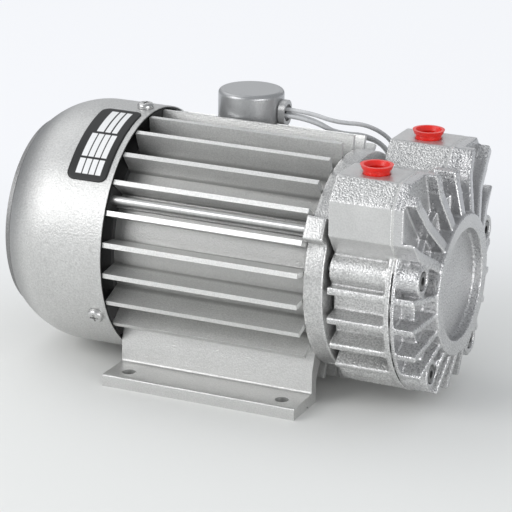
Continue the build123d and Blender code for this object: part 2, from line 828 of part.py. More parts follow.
with BuildPart() as end_cover:
    with BuildSketch(across(cover_base)):
        with Locations((0, bore_centre_z)):
            Circle(casting_core_radius)
        with Locations(*screw_points):
            Circle(screw_boss_radius)
    extrude(amount=cover_core_thickness)
    with BuildSketch(across(cover_base)):
        tower_block()
    extrude(amount=cover_tower_thickness)
    with BuildSketch(across(cover_base)):
        add(casting_outline_face)
    extrude(amount=cover_flange_width)
    add(cover_fins.part)
    with BuildSketch(across(cover_base)):
        with Locations(*screw_points):
            Circle(screw_boss_radius)
    extrude(amount=cover_screw_boss_height)
    with BuildSketch(across(cover_base)):
        with Locations((0, bore_centre_z)):
            Circle(cover_boss_radius)
    extrude(amount=cover_thickness)
    with BuildSketch(across(cover_face - cover_dish_depth)):
        with Locations((0, bore_centre_z)):
            Circle(cover_dish_radius)
    extrude(amount=cover_dish_depth, mode=Mode.SUBTRACT)
    with BuildSketch(across(cover_base)):
        with Locations(*screw_points):
            Circle(screw_radius + screw_hole_clearance)
    extrude(amount=cover_thickness, mode=Mode.SUBTRACT)
    with BuildSketch(across(cover_base + cover_screw_boss_height - counterbore_depth)):
        with Locations(*screw_points):
            Circle(counterbore_radius)
    extrude(amount=cover_thickness, mode=Mode.SUBTRACT)
save(end_cover.part, "end_cover")


# Cover screws: long socket-head screws through the cover and the cylinder into the front bracket
head_seat = cover_base + cover_screw_boss_height - counterbore_depth
screw_end = housing_right + front_ring_width - screw_thread_depth
with BuildPart() as cover_screws:
    with BuildSketch(across(head_seat)):
        with Locations(*screw_points):
            Circle(screw_head_radius)
    extrude(amount=screw_head_height)
    with BuildSketch(across(screw_end)):
        with Locations(*screw_points):
            Circle(screw_radius)
    extrude(amount=head_seat - screw_end)
    with BuildSketch(across(head_seat + screw_head_height - hex_socket_depth)):
        with Locations(*screw_points):
            RegularPolygon(hex_socket_radius, 6)
    extrude(amount=hex_socket_depth, mode=Mode.SUBTRACT)
save(cover_screws.part, "cover_screws")


# Port caps: soft plastic cups with a sloped flange, standing a little proud of the towers
cap_names = {-1: "inlet_cap", 1: "outlet_cap"}
tower_top = axis_height + tower_height
flange_bottom = tower_top + cap_lift
for side, name in cap_names.items():
    cap_axis = Axis((cylinder_middle, side * port_y, 0), (0, 0, 1))
    cap_section = Plane(origin=(cylinder_middle, side * port_y, 0), x_dir=(1, 0, 0), z_dir=(0, -1, 0))
    with BuildPart() as port_cap:
        with BuildSketch(cap_section):
            Polygon(
                (0, tower_top - cap_body_depth),
                (cap_body_radius, tower_top - cap_body_depth),
                (cap_body_radius, flange_bottom),
                (cap_flange_radius - cap_flange_slope, flange_bottom),
                (cap_flange_radius, flange_bottom + cap_flange_height),
                (cap_body_radius, flange_bottom + cap_flange_height),
                (cap_body_radius - cap_wall, flange_bottom),
                (cap_body_radius - cap_wall, tower_top - cap_body_depth + cap_wall),
                (0, tower_top - cap_body_depth + cap_wall),
                align=None,
            )
        revolve(axis=cap_axis)
    save(port_cap.part, name)


# Terminal saddle: a block with a hollow underside that sits on the housing wall under the pot
pot_centre = (pot_x, pot_y)
with BuildPart() as terminal_saddle:
    with BuildSketch(Plane.XY.offset(axis_height)):
        with Locations(pot_centre):
            Circle(pot_radius + saddle_clearance)
    extrude(amount=saddle_height)
    with BuildSketch(Plane.XY.offset(axis_height + saddle_height)):
        with Locations(pot_centre):
            Circle(pot_radius - pot_wall - fit_clearance)
    extrude(amount=saddle_spigot)
    with BuildSketch(across(housing_left)):
        Circle(window_floor_radius + fit_clearance)
    extrude(amount=housing_length, mode=Mode.SUBTRACT)
    with BuildSketch(Plane.XY.offset(axis_height)):
        with Locations(pot_centre):
            Circle(wire_duct_radius)
    extrude(amount=saddle_height + saddle_spigot, mode=Mode.SUBTRACT)
save(terminal_saddle.part, "terminal_saddle")

grommet_z = axis_height + pot_top - grommet_drop
grommet_root = pot_x + sqrt((pot_radius - pot_wall) ** 2 - (grommet_width / 2) ** 2)
grommet_face = pot_x + pot_radius + grommet_length


def facing_x(x):
    """Plane square to +X through the grommet's centre line, with local x along +Y."""
    return Plane(origin=(x, pot_y, grommet_z), x_dir=(0, 1, 0), z_dir=(1, 0, 0))


# Terminal pot: a drawn can, open below, with a rounded top edge
with BuildPart() as terminal_pot:
    with BuildSketch(Plane.XY.offset(axis_height + saddle_height)):
        with Locations(pot_centre):
            Circle(pot_radius)
    extrude(amount=pot_top - saddle_height)
    fillet(terminal_pot.edges().group_by(Axis.Z)[-1], pot_edge)
    with BuildSketch(Plane.XY.offset(axis_height + saddle_height)):
        with Locations(pot_centre):
            Circle(pot_radius - pot_wall)
    extrude(amount=pot_top - saddle_height - pot_wall, mode=Mode.SUBTRACT)
    with BuildSketch(facing_x(pot_x)):
        SlotOverall(grommet_height - 2, grommet_width - 2, rotation=90)
    extrude(amount=2 * pot_radius, mode=Mode.SUBTRACT)
save(terminal_pot.part, "terminal_pot")

with BuildPart() as lead_grommet:
    with BuildSketch(facing_x(grommet_root)):
        SlotOverall(grommet_height - 2.1, grommet_width - 2.1, rotation=90)
    extrude(amount=grommet_face - grommet_root)
    with BuildSketch(facing_x(pot_x + pot_radius + 0.05)):
        SlotOverall(grommet_height, grommet_width, rotation=90)
    extrude(amount=grommet_length - 0.05)
    with BuildSketch(facing_x(grommet_face)):
        Circle(grommet_bore)
    extrude(amount=-grommet_recess, mode=Mode.SUBTRACT)
save(lead_grommet.part, "lead_grommet")


# Motor leads: three loose wires from the grommet, over the rear fins, down and along the surface
lead_start_x = grommet_face - grommet_recess
floor_z = lead_radius + 0.05
lead_starts = [(0.0, 1.7), (-1.7, -1.2), (1.7, -1.2)]


def lead_route(start, lane):
    """Points of one lead, whose lane sets it beside its neighbours, with its last points on the surface."""
    y0 = pot_y + start[0]
    z0 = grommet_z + start[1]
    return [
        (lead_start_x, y0, z0),
        (lead_start_x + 13, y0, z0),
        (lead_start_x + 27, y0 + 6 + lane, z0 - 7.5 - lane),
        (lead_start_x + 40, y0 + 21 + lane, z0 - 10.5 - lane),
        (lead_start_x + 46 - lane, y0 + 39 + lane, z0 - 25 - lane),
        (lead_start_x + 45 - lane, 78 + lane, z0 - 52),
        (lead_start_x + 41 - lane, 80 + lane, 34 - lane),
        (lead_start_x + 28 - lane, 84 + lane, floor_z),
        (lead_start_x - 4 - lane, 91 + 1.6 * lane, floor_z),
        (lead_start_x - 36 - 2 * lane, 88 + 2.4 * lane, floor_z),
        (lead_start_x - 66 - 4 * lane, 93 + 1.5 * lane, floor_z),
    ]


def corner_radius(before, corner, after):
    """Largest neat arc at a corner: 0.45 of the shorter run over the tangent of half the turn."""
    run_in = Vector(*corner) - Vector(*before)
    run_out = Vector(*after) - Vector(*corner)
    half_turn = radians(run_in.get_angle(run_out)) / 2
    return 0.45 * min(run_in.length, run_out.length) * cos(half_turn) / sin(half_turn)


for number, start in enumerate(lead_starts, start=1):
    route = lead_route(start, (number - 2) * 3.2)
    radii = [corner_radius(*route[i - 1 : i + 2]) for i in range(1, len(route) - 1)]
    with BuildPart() as motor_lead:
        with BuildLine():
            lead_path = FilletPolyline(*route, radius=radii)
        lead_start = Plane(origin=lead_path @ 0, z_dir=lead_path % 0)
        with BuildSketch(lead_start):
            Circle(lead_radius)
        sweep()
    save(motor_lead.part, f"motor_lead_{number}")
    expected = 3.14159265 * lead_radius**2 * lead_path.length
    print(f"lead {number}: length {lead_path.length:.1f}", "radii", [round(r, 1) for r in radii])
    print(f"  volume {motor_lead.part.volume:.1f}, section times length {expected:.1f}")
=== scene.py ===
import json
from math import copysign, cos, hypot, pi, radians, sin

import bmesh
import bpy
from mathutils import Matrix, Vector, noise

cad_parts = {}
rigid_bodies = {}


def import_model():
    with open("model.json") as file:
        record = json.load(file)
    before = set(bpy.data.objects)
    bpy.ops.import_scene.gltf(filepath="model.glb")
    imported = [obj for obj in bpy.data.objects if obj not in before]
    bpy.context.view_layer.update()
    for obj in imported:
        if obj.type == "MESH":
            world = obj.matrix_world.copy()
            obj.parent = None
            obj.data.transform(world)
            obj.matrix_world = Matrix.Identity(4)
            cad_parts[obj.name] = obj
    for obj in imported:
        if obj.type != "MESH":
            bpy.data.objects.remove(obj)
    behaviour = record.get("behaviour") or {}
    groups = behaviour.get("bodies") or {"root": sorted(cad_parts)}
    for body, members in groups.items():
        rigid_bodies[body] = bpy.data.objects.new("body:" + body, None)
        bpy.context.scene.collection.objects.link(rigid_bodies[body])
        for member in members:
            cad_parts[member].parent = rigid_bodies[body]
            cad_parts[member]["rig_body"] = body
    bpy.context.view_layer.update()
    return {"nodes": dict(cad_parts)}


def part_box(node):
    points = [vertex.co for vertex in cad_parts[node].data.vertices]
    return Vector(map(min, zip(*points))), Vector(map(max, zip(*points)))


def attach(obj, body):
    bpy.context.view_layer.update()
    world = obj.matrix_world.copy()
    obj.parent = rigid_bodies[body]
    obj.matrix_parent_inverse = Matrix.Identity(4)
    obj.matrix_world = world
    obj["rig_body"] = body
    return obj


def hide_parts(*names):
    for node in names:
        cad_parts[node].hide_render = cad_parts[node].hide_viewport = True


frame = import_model()
scene = bpy.context.scene
nodes = frame["nodes"]
MM = 0.001
BODY = "pump_frame"

# Sizes that the frame gives
COWL_LOW, COWL_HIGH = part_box("fan_cowl")
SHAFT_LOW, SHAFT_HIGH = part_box("motor_shaft")
POT_LOW, POT_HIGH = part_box("terminal_pot")
GROMMET_LOW, GROMMET_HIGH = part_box("lead_grommet")
AXIS_Z = (SHAFT_LOW.z + SHAFT_HIGH.z) / 2
COWL_RADIUS = (COWL_HIGH.y - COWL_LOW.y) / 2
COWL_STEP = COWL_LOW.x + 3.6 * MM

# Motor extrusion: its fins, and the long edges of its feet
FIN_TIP_RADIUS = 62 * MM
VALLEY_RADIUS = 51 * MM
LOWEST_FIN = 26 * MM
FOOT_TOP = 6.2 * MM
WEB_OUTER = 39.4 * MM
FOOT_OUTER = 61.6 * MM
WEB_ROUND = 1.4 * MM
FOOT_ROUND = 0.8 * MM
EXTRUSION_ROUND = 0.35 * MM

# Pump castings: the towers' sides and slopes, the paint's grain, a painted highlight on its edges with
# painted shade in its hollows, and the painted seam
SIDE_LOW = AXIS_Z + 18 * MM
SLOPE_LOW = AXIS_Z + 47 * MM
SLOPE_HIGH = AXIS_Z + 57.2 * MM
CAST_GRAIN = 0.85 * MM
PAINTED_LIGHT_BEND = 0.17
PAINTED_LIGHT_SOFT = 0.10
SEAM_INNER = 45 * MM
SEAM_PAINT_LOW = 15 * MM
SEAM_PAINT_FADE = 4 * MM
SEAM_LIFT = 0.12 * MM
SEAM_SPREAD = 0.9 * MM

# Cowl: its rolled rim, and the plate by the rim, whose angles in degrees rise from the near side
BEAD = 0.75 * MM
PLATE_LEFT = COWL_HIGH.x - 25.5 * MM
PLATE_RIGHT = COWL_HIGH.x - 3.0 * MM
PLATE_LOW = 35.5
PLATE_HIGH = 82.0
PLATE_CORNER = 4.2 * MM
PLATE_GAP = 0.03 * MM
PLATE_THICKNESS = 0.25 * MM

# The plate's blank cells, as shares of its width and of its height from the top
UPPER_COLUMNS = [(0.27, 0.44), (0.48, 0.61), (0.65, 0.78)]
UPPER_ROWS = [(0.06, 0.42)]
LOWER_COLUMNS = [(0.20, 0.34), (0.37, 0.50), (0.53, 0.66), (0.69, 0.82)]
LOWER_ROWS = [(0.45, 0.74), (0.765, 0.93)]
COLUMN_EDGE = 0.007
ROW_EDGE = 0.004

# Camera, fitted to the photo
CAMERA_TURN = radians(23.923)
CAMERA_RISE = radians(18.369)
CAMERA_ROLL = radians(1.057)
CAMERA_PLACE = Vector((0.5023, -1.1237, 0.4680))
FOCAL_PIXELS = 2523.8
PHOTO_SIZE = 512
SENSOR = 36.0


class Value:
    """A shader socket that takes part in sums; each operation adds its Math node."""

    def __init__(self, shader, socket):
        self.shader = shader
        self.socket = socket

    def math(self, operation, *others):
        return self.shader.node("ShaderNodeMath", {"operation": operation}, [self, *others])

    def __add__(self, other):
        return self.math("ADD", other)

    __radd__ = __add__

    def __sub__(self, other):
        return self.math("SUBTRACT", other)

    def __rsub__(self, other):
        return self.shader.node("ShaderNodeMath", {"operation": "SUBTRACT"}, [other, self])

    def __mul__(self, other):
        return self.math("MULTIPLY", other)

    __rmul__ = __mul__

    def __truediv__(self, other):
        return self.math("DIVIDE", other)

    def __neg__(self):
        return self * -1

    def above(self, edge, soft):
        """0 below the edge and 1 above it, with a soft step."""
        settings = {"interpolation_type": "SMOOTHSTEP"}
        inputs = {"Value": self, "From Min": edge - soft, "From Max": edge + soft}
        return self.shader.node("ShaderNodeMapRange", settings, inputs)

    def band(self, low, high, soft):
        """1 between the two edges and 0 outside them, with soft edges."""
        return self.above(low, soft) * (1 - self.above(high, soft))

    def bands(self, edges, soft):
        """1 within any of the bands, which lie apart."""
        return sum(self.band(low, high, soft) for low, high in edges)


class Shader:
    """A material with its Principled shader, and one method that adds every other node."""

    def __init__(self, name, roughness, metallic=0.0, **uniform):
        self.material = bpy.data.materials.new(name)
        self.material.use_nodes = True
        self.tree = self.material.node_tree
        self.principled = self.tree.nodes["Principled BSDF"]
        self.principled.inputs["Roughness"].default_value = roughness
        self.principled.inputs["Metallic"].default_value = metallic
        for key, value in uniform.items():
            self.principled.inputs[key.replace("_", " ").title()].default_value = value
        self.place = self.node("ShaderNodeTexCoord", {}, {}, "Object")

    def feed(self, socket, value):
        """Link a Value to a socket, or set the socket to a plain number, vector or colour."""
        if isinstance(value, Value):
            self.tree.links.new(value.socket, socket)
        elif socket.type == "RGBA":
            socket.default_value = (*value, 1)
        else:
            socket.default_value = value

    def node(self, kind, settings, inputs, output=0):
        """Add a node with its settings; inputs are a list, or a dict by name or number."""
        made = self.tree.nodes.new(kind)
        for key, value in settings.items():
            setattr(made, key, value)
        pairs = inputs.items() if isinstance(inputs, dict) else enumerate(inputs)
        for key, value in pairs:
            self.feed(made.inputs[key], value)
        return Value(self, made.outputs[output])

    def along(self, axis):
        """The place along X, Y or Z."""
        return self.node("ShaderNodeSeparateXYZ", {}, [self.place], axis)

    def reach(self, y=0.0, z=AXIS_Z):
        """The distance from a line along the object at that y and z, or from the shaft's axis."""
        aside = self.along("Y") - y
        up = self.along("Z") - z
        return (aside * aside + up * up).math("SQRT")

    def grain(self, size, detail=2.0, rough=0.5, place=None):
        """Noise whose features are about the given size."""
        inputs = {"Vector": place or self.place, "Scale": 1 / size, "Detail": detail, "Roughness": rough}
        return self.node("ShaderNodeTexNoise", {}, inputs, "Fac")

    def mix(self, factor, low, high):
        """A colour between two others; the colour sockets of a Mix node are its numbers 6, 7 and 2."""
        return self.node("ShaderNodeMix", {"data_type": "RGBA"}, {0: factor, 6: low, 7: high}, 2)

    def bump(self, height, distance, under=None):
        """A normal bent by the height, on top of another bump where one is given."""
        inputs = {"Height": height, "Distance": distance, "Strength": 1.0}
        if under is not None:
            inputs["Normal"] = under
        return self.node("ShaderNodeBump", {}, inputs)

    def set(self, name, value):
        self.feed(self.principled.inputs[name], value)


def grey(level, blue=None):
    """A grey whose blue may differ, which warms or cools it."""
    return (level, level, level if blue is None else blue)


def cast_silver(name, dark, light, depth, roughness, metallic=0.75, calm_sides=True):
    """Aluminium paint over a rough casting, with a painted highlight on its edges and painted shade in its
    hollows.

    With calm sides it is hammered low down and on the towers' slopes, and finer on their sides and tops.
    """
    paint = Shader(name, roughness, metallic)
    height = paint.along("Z")
    coarse = paint.grain(CAST_GRAIN, 1.5, 0.45)
    fine = paint.grain(CAST_GRAIN / 3, 2.0, 0.6)
    cloud = paint.grain(CAST_GRAIN * 20)
    slope = height.band(SLOPE_LOW, SLOPE_HIGH, 0.3 * MM)
    low = 1 - height.above(SIDE_LOW, 2 * MM)
    hammered = slope * 0.8 + low * 0.6 + 0.2 if calm_sides else 0.7
    dents = coarse.above(0.5, 0.2)
    tone = (dents * 0.6 + cloud * 0.3) * hammered + (1 - hammered) * (cloud * 0.3 + 0.28)
    bend = paint.node("ShaderNodeAttribute", {"attribute_name": "crest"}, {}, "Fac")
    # Painted highlight where the skin stands out, and painted shade in its hollows
    edges = bend.above(PAINTED_LIGHT_BEND, PAINTED_LIGHT_SOFT)
    hollows = (-bend).above(PAINTED_LIGHT_BEND, PAINTED_LIGHT_SOFT)
    colour = paint.mix(edges * 0.75, paint.mix(tone, dark, light), grey(1.0, 0.99))
    paint.set("Base Color", paint.mix(hollows * 0.55, colour, grey(0.12)))
    paint.set("Roughness", coarse * 0.16 + (roughness - 0.08) - edges * 0.08)
    paint.set("Normal", paint.bump(fine, depth / 5, paint.bump(dents * hammered, depth)))
    return paint.material


def satin_silver(name, dark, light, grain_size, depth, roughness, metallic, shades=None):
    """Sprayed satin silver with a fine grain; shades is a function that changes its colour in places."""
    paint = Shader(name, roughness, metallic)
    fine = paint.grain(grain_size, 2.0, 0.6)
    cloud = paint.grain(18 * MM)
    colour = paint.mix(fine * 0.8 + cloud * 0.15, dark, light)
    paint.set("Base Color", shades(paint, colour) if shades else colour)
    paint.set("Roughness", fine * 0.14 + cloud * 0.03 + (roughness - 0.08))
    paint.set("Normal", paint.bump(fine, depth))
    return paint.material


def fin_shades(paint, colour):
    """Painted shade in the valleys between the fins, a painted highlight on the fin tips, and slightly
    darker feet.
    """
    reach = paint.reach()
    height = paint.along("Z")
    valleys = 1 - reach.above(VALLEY_RADIUS, 1.5 * MM)
    tips = reach.above(FIN_TIP_RADIUS - EXTRUSION_ROUND, 0.2 * MM) * height.above(LOWEST_FIN, 0.5 * MM)
    feet = 1 - height.above(LOWEST_FIN, 2 * MM)
    # Painted shade in the valleys, then a painted highlight on the fin tips
    colour = paint.mix(valleys * 0.60, colour, grey(0.20, 0.195))
    colour = paint.mix(tips * 0.12, colour, grey(0.95, 0.94))
    return paint.mix(feet * 0.26, colour, grey(0.30, 0.295))


def cowl_shades(paint, colour):
    """Painted shade: black inside the drum by its rim, and outside darker towards the rear, with a dark
    line at the step.
    """
    x = paint.along("X")
    within = 1 - paint.reach().above(COWL_RADIUS - 0.5 * MM, 0.1 * MM)
    by_rim = x.above(COWL_HIGH.x - 20 * MM, 0.1 * MM)
    rear = 1 - x.above(COWL_STEP + 8 * MM, 8 * MM)
    ring = 1 - x.above(COWL_STEP, 0.1 * MM)
    line = x.band(COWL_STEP - 1.0 * MM, COWL_STEP + 0.5 * MM, 0.2 * MM)
    # Painted shade inside the rim, towards the rear and in the step
    colour = paint.mix(within * by_rim, colour, grey(0.02))
    colour = paint.mix(rear * 0.55 + ring * 0.10, colour, grey(0.09, 0.095))
    return paint.mix(line * 0.75, colour, grey(0.03, 0.032))


def brushed_steel(name, dark, light, roughness):
    """Turned or drawn steel, with fine rings across the shaft."""
    steel = Shader(name, roughness, metallic=0.95)
    squeeze = {"Vector": steel.place, "Scale": (900.0, 60.0, 60.0)}
    rings = steel.grain(1.0, 3.0, 0.6, steel.node("ShaderNodeMapping", {}, squeeze))
    spots = steel.grain(4 * MM)
    steel.set("Base Color", steel.mix(rings * 0.6 + spots * 0.4, dark, light))
    steel.set("Roughness", rings * 0.2 + (roughness - 0.1))
    steel.set("Normal", steel.bump(rings, 0.02 * MM))
    return steel.material


def moulded(name, dark, light, roughness, grain_size=0.6 * MM, depth=0.02 * MM, **uniform):
    """Moulded plastic, rubber, carbon or felt: a fine grain and slight colour change."""
    skin = Shader(name, roughness, **uniform)
    fine = skin.grain(grain_size)
    cloud = skin.grain(6 * MM)
    skin.set("Base Color", skin.mix(fine * 0.3 + cloud * 0.7, dark, light))
    skin.set("Roughness", fine * 0.12 + (roughness - 0.06))
    skin.set("Normal", skin.bump(fine, depth))
    return skin.material


def laminations(name):
    """Stacked steel sheets of 1 mm: fine grooves round the shaft."""
    stack = Shader(name, roughness=0.45, metallic=0.8)
    sheets = (stack.along("X") * (2 * pi / MM)).math("SINE")
    tone = sheets * 0.4 + stack.grain(3 * MM) * 0.6
    stack.set("Base Color", stack.mix(tone, (0.10, 0.10, 0.11), (0.30, 0.31, 0.33)))
    stack.set("Normal", stack.bump(sheets, 0.05 * MM))
    return stack.material


def windings(name):
    """Varnished copper wire laid round the stator."""
    coil = Shader(name, roughness=0.3, coat_weight=0.6)
    settings = {"wave_type": "RINGS", "rings_direction": "X"}
    inputs = {"Vector": coil.place, "Scale": 260.0, "Distortion": 3.0, "Detail": 1.0}
    wires = coil.node("ShaderNodeTexWave", settings, inputs)
    coil.set("Base Color", coil.mix(wires, (0.16, 0.04, 0.015), (0.55, 0.20, 0.07)))
    coil.set("Normal", coil.bump(wires, 0.2 * MM))
    return coil.material


def painted_gasket(name):
    """Seam sheet with the castings' paint over its edge at tower height, darker below, and black patches of
    painted shade low down.
    """
    seam = Shader(name, roughness=0.4, metallic=0.7)
    height = seam.along("Z")
    # Black patches of painted shade, low down only
    wear_and_shade = seam.grain(7 * MM).above(0.5, 0.06) * (1 - height.above(SIDE_LOW + 2 * MM, 2 * MM))
    painted = seam.mix(height.above(SIDE_LOW, 2 * MM), grey(0.34), grey(0.66, 0.65))
    seam.set("Base Color", seam.mix(wear_and_shade * 0.9, painted, grey(0.02)))
    seam.set("Normal", seam.bump(seam.grain(0.8 * MM), 0.05 * MM))
    return seam.material


def ringed_grommet(name):
    """A painted collar round a black bore, whose radius is about a third of the grommet's width."""
    collar = Shader(name, roughness=0.35, metallic=0.5)
    middle = (GROMMET_LOW + GROMMET_HIGH) / 2
    bore_radius = (GROMMET_HIGH.y - GROMMET_LOW.y) * 0.34
    bore = 1 - collar.reach(middle.y, middle.z).above(bore_radius, 0.2 * MM)
    grain = collar.grain(0.5 * MM)
    collar.set("Base Color", collar.mix(bore, collar.mix(grain, grey(0.3), grey(0.6)), grey(0.01)))
    collar.set("Normal", collar.bump(grain, 0.03 * MM))
    return collar.material


def plate_ink(name):
    """Black ink with blank white cells, set out by place along the shaft and by angle round it."""
    ink = Shader(name, roughness=0.35)
    share = (ink.along("X") - PLATE_LEFT) / (PLATE_RIGHT - PLATE_LEFT)
    turn = (ink.along("Z") - AXIS_Z).math("ARCTAN2", -ink.along("Y"))
    down = 1 - (turn - radians(PLATE_LOW)) / radians(PLATE_HIGH - PLATE_LOW)
    upper = share.bands(UPPER_COLUMNS, COLUMN_EDGE) * down.bands(UPPER_ROWS, ROW_EDGE)
    lower = share.bands(LOWER_COLUMNS, COLUMN_EDGE) * down.bands(LOWER_ROWS, ROW_EDGE)
    wear_and_shade = ink.grain(0.5 * MM, 3.0)
    white = ink.mix(wear_and_shade, grey(0.62), grey(0.80))
    black = ink.mix(wear_and_shade, grey(0.004), grey(0.020, 0.021))
    ink.set("Base Color", ink.mix(upper + lower, black, white))
    ink.set("Roughness", wear_and_shade * 0.15 + 0.42)
    return ink.material


CAST = cast_silver("cast_silver", grey(0.36), grey(0.92, 0.91), depth=0.17 * MM, roughness=0.34)
COVER_CAST = cast_silver("cover_silver", grey(0.36, 0.37), grey(0.92),
                         depth=0.18 * MM, roughness=0.30, metallic=0.9)
BRACKET_CAST = cast_silver("bracket_silver", grey(0.36), grey(0.84, 0.83),
                           depth=0.12 * MM, roughness=0.36, calm_sides=False)
# Near-black painted shade, given to the rear bracket and the side plate
SHADE_BLACK_CAST = satin_silver("shade_black_casting", grey(0.02), grey(0.05),
                        grain_size=1.2 * MM, depth=0.1 * MM, roughness=0.6, metallic=0.2)
EXTRUSION = satin_silver("extrusion_silver", grey(0.52, 0.51), grey(0.99, 0.975),
                         grain_size=0.8 * MM, depth=0.22 * MM, roughness=0.38, metallic=0.8,
                         shades=fin_shades)
COWL_PAINT = satin_silver("cowl_paint", grey(0.36, 0.355), grey(0.86, 0.85),
                          grain_size=0.9 * MM, depth=0.24 * MM, roughness=0.43, metallic=0.8,
                          shades=cowl_shades)
RIM_PAINT = satin_silver("rim_paint", grey(0.55), grey(0.80),
                         grain_size=0.9 * MM, depth=0.03 * MM, roughness=0.28, metallic=0.6)
POT_PAINT = satin_silver("pot_paint", (0.32, 0.325, 0.33), (0.56, 0.565, 0.57),
                         grain_size=0.5 * MM, depth=0.03 * MM, roughness=0.33, metallic=0.7)
ZINC = brushed_steel("zinc", grey(0.42), grey(0.80, 0.79), 0.32)
GROUND = brushed_steel("ground_steel", grey(0.45, 0.46), grey(0.82, 0.83), 0.22)
BLACKED = brushed_steel("black_oxide", grey(0.12), grey(0.34), 0.40)
MACHINED = brushed_steel("machined_aluminium", (0.55, 0.56, 0.57), (0.86, 0.87, 0.88), 0.30)
BLACK_PLASTIC = moulded("fan_plastic", grey(0.010, 0.011), grey(0.035, 0.038), 0.45)
CARBON = moulded("carbon", grey(0.015, 0.016), grey(0.06, 0.062), 0.5)
FELT = moulded("felt", (0.45, 0.43, 0.38), (0.75, 0.73, 0.68), 0.95, grain_size=1.2 * MM, depth=0.3 * MM)
RED = moulded("red_plastic", (0.62, 0.012, 0.008), (0.86, 0.030, 0.018), 0.30,
              grain_size=0.9 * MM, depth=0.01 * MM, subsurface_weight=0.08, subsurface_scale=2 * MM)
LEAD = moulded("lead_insulation", (0.40, 0.405, 0.41), (0.66, 0.665, 0.67), 0.26,
               grain_size=2 * MM, depth=0.01 * MM)

FINISH = {
    "motor_housing": EXTRUSION,
    "front_bracket": BRACKET_CAST,
    "rear_bracket": SHADE_BLACK_CAST,
    "side_plate": SHADE_BLACK_CAST,
    "pump_cylinder": CAST,
    "terminal_saddle": CAST,
    "end_cover": COVER_CAST,
    "rotor_end_rings": MACHINED,
    "pump_rotor": MACHINED,
    "fan_cowl": COWL_PAINT,
    "terminal_pot": POT_PAINT,
    "tie_rods": ZINC,
    "cowl_screws": ZINC,
    "fan_clip": ZINC,
    "rotor_key": ZINC,
    "cover_screws": BLACKED,
    "motor_shaft": GROUND,
    "cooling_fan": BLACK_PLASTIC,
    "stator_core": laminations("laminations"),
    "rotor_core": laminations("rotor_laminations"),
    "stator_windings": windings("windings"),
    "inlet_filter": FELT,
    "outlet_filter": FELT,
    "cover_gasket": painted_gasket("painted_gasket"),
    "inlet_cap": RED,
    "outlet_cap": RED,
    "lead_grommet": ringed_grommet("ringed_grommet"),
}
for end in ("rear", "front"):
    for piece in ("outer", "inner", "balls"):
        FINISH[f"{end}_bearing_{piece}"] = GROUND
for number in range(1, 5):
    FINISH[f"vane_{number}"] = CARBON
for number in range(1, 4):
    FINISH[f"motor_lead_{number}"] = LEAD


def dress(thing, material):
    thing.data.materials.clear()
    thing.data.materials.append(material)


for node_name, material in FINISH.items():
    dress(nodes[node_name], material)


def add_mesh(name, bm, material, body=BODY, smooth_angle=35):
    """Turn a bmesh into a finished piece that rides on a body."""
    mesh = bpy.data.meshes.new(name)
    bm.to_mesh(mesh)
    bm.free()
    thing = bpy.data.objects.new(name, mesh)
    scene.collection.objects.link(thing)
    dress(thing, material)
    for face in mesh.polygons:
        face.use_smooth = True
    mesh.set_sharp_from_angle(angle=radians(smooth_angle))
    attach(thing, body)
    return thing


def merged_copy(node_name):
    """The node's surface as a bmesh with its doubles merged."""
    bm = bmesh.new()
    bm.from_mesh(nodes[node_name].data)
    bmesh.ops.remove_doubles(bm, verts=bm.verts, dist=0.01 * MM)
    return bm


def stand_for(thing, node_name):
    """Let a piece replace a node, by hiding the node."""
    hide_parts(node_name)


def on_foot_top(edge, side):
    """Whether an edge runs along the feet's top at the given distance to the side of the shaft."""
    near = 0.1 * MM
    return all(
        abs(abs(vertex.co.y) - side) < near and abs(vertex.co.z - FOOT_TOP) < near
        for vertex in edge.verts
    )


def edged(node_name, name, width, segments=2, foot_rounds=()):
    """A copy of a sharp node with its edges rounded, which stands for the node.

    Each foot round is how far an edge on the feet's top lies to the side, and its radius.
    """
    bm = merged_copy(node_name)
    bmesh.ops.dissolve_limit(bm, angle_limit=radians(1.0), verts=bm.verts, edges=bm.edges)
    for side, radius in foot_rounds:
        corners = [edge for edge in bm.edges if on_foot_top(edge, side)]
        bmesh.ops.bevel(bm, geom=corners, offset=radius, segments=4, profile=0.5, affect="EDGES")
    thing = add_mesh(name, bm, FINISH[node_name], nodes[node_name]["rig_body"], 40)
    rounding = thing.modifiers.new("rounding", "BEVEL")
    rounding.width = width
    rounding.segments = segments
    rounding.limit_method = "ANGLE"
    rounding.angle_limit = radians(42)
    rounding.use_clamp_overlap = True
    rounding.harden_normals = True
    stand_for(thing, node_name)


def soft_skin(thing, voxel):
    """The thing's surface made anew in small even faces and smoothed once, as a mesh and its bmesh."""
    remesh = thing.modifiers.new("skin", "REMESH")
    remesh.mode = "VOXEL"
    remesh.voxel_size = voxel
    shown = thing.evaluated_get(bpy.context.evaluated_depsgraph_get())
    skin = bpy.data.meshes.new_from_object(shown)
    thing.modifiers.clear()
    bm = bmesh.new()
    bm.from_mesh(skin)
    bmesh.ops.smooth_vert(bm, verts=bm.verts, factor=0.5, use_axis_x=True, use_axis_y=True, use_axis_z=True)
    bm.normal_update()
    return skin, bm


